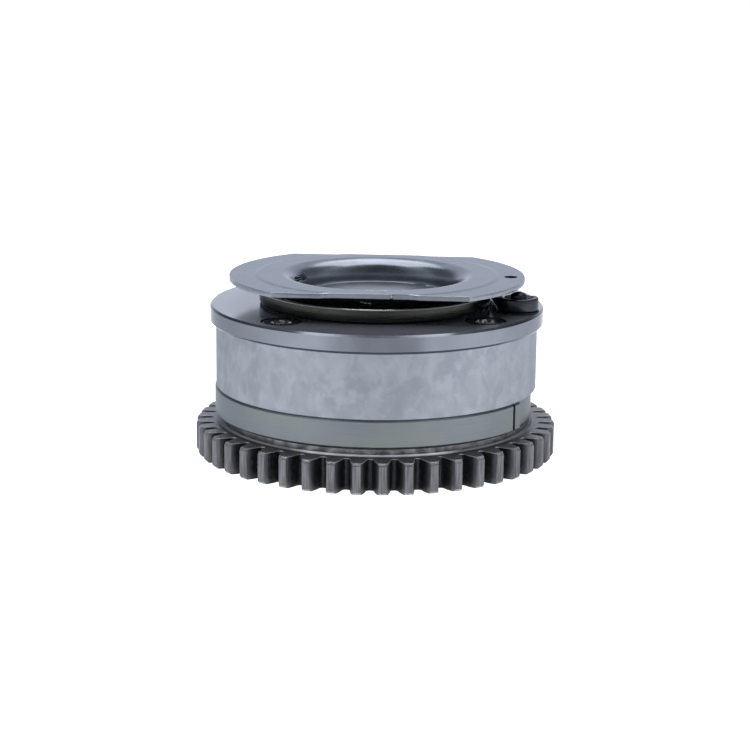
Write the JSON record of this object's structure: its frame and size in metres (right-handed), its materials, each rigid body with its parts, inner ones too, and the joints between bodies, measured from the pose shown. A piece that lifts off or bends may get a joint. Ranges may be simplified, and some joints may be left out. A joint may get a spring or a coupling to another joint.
{
  "type": "cam phaser",
  "caption": "Vane-type cam phaser: geared housing with a sprung rotor inside, polished cover, spiral bias spring and a pressed trigger wheel with a deep bowl.",
  "frame": {"origin": "on the phaser's axis, at the gear's rear face", "axes": "+Z along the axis from the gear towards the trigger wheel, -Y towards the front of the picture"},
  "size_m": [0.108, 0.108, 0.0534],
  "materials": {
    "gear_steel": "dark sintered steel with worn tips",
    "plate_steel": "greenish grey machined",
    "housing_metal": "matte grey with light stains",
    "cover_steel": "polished grey",
    "screw_steel": "dark zinc",
    "rotor_metal": "machined grey",
    "wheel_sheet": "satin bluish grey",
    "hardened_steel": "ground",
    "spring_steel": "dark oiled, bright edges",
    "post_steel": "black oxide",
    "spring_wire": "bright wire",
    "seal_polymer": "dark polymer"
  },
  "bodies": {
    "housing": {"drive_gear": "gear_steel", "rear_plate": "plate_steel", "stator_housing": "housing_metal", "front_cover": "cover_steel", "cover_screws": "screw_steel", "bias_spring": "spring_steel", "spring_post": "post_steel", "lock_bush_1": "hardened_steel", "lock_bush_2": "hardened_steel", "web_seal_1": "seal_polymer", "web_seal_2": "seal_polymer", "web_seal_3": "seal_polymer", "web_seal_4": "seal_polymer", "web_seal_spring_1": "spring_wire", "web_seal_spring_2": "spring_wire", "web_seal_spring_3": "spring_wire", "web_seal_spring_4": "spring_wire"},
    "rotor": {"rotor": "rotor_metal", "trigger_wheel": "wheel_sheet", "wheel_dowel": "hardened_steel", "lock_pin_spring": "spring_wire", "lock_spring_seat": "seal_polymer", "vane_seal_1": "seal_polymer", "vane_seal_2": "seal_polymer", "vane_seal_3": "seal_polymer", "vane_seal_4": "seal_polymer", "vane_seal_spring_1": "spring_wire", "vane_seal_spring_2": "spring_wire", "vane_seal_spring_3": "spring_wire", "vane_seal_spring_4": "spring_wire"},
    "lock_pin": {"lock_pin": "hardened_steel"}
  },
  "joints": [
    {"name": "rotor_turn", "type": "hinge", "parent": "housing", "child": "rotor", "pos_m": [0, 0, 0.03], "axis": [0, 0, 1], "range_deg": [0, 20], "stiffness_Nm_per_rad": 1.5, "springref_deg": -45.84, "deforming": ["bias_spring"]},
    {"name": "lock_pin_slide", "type": "slide", "parent": "rotor", "child": "lock_pin", "axis": [0, 0, 1], "range_m": [-0.0035, 0], "stiffness_N_per_m": 150, "springref_m": -0.006, "deforming": ["lock_pin_spring"]}
  ]
}
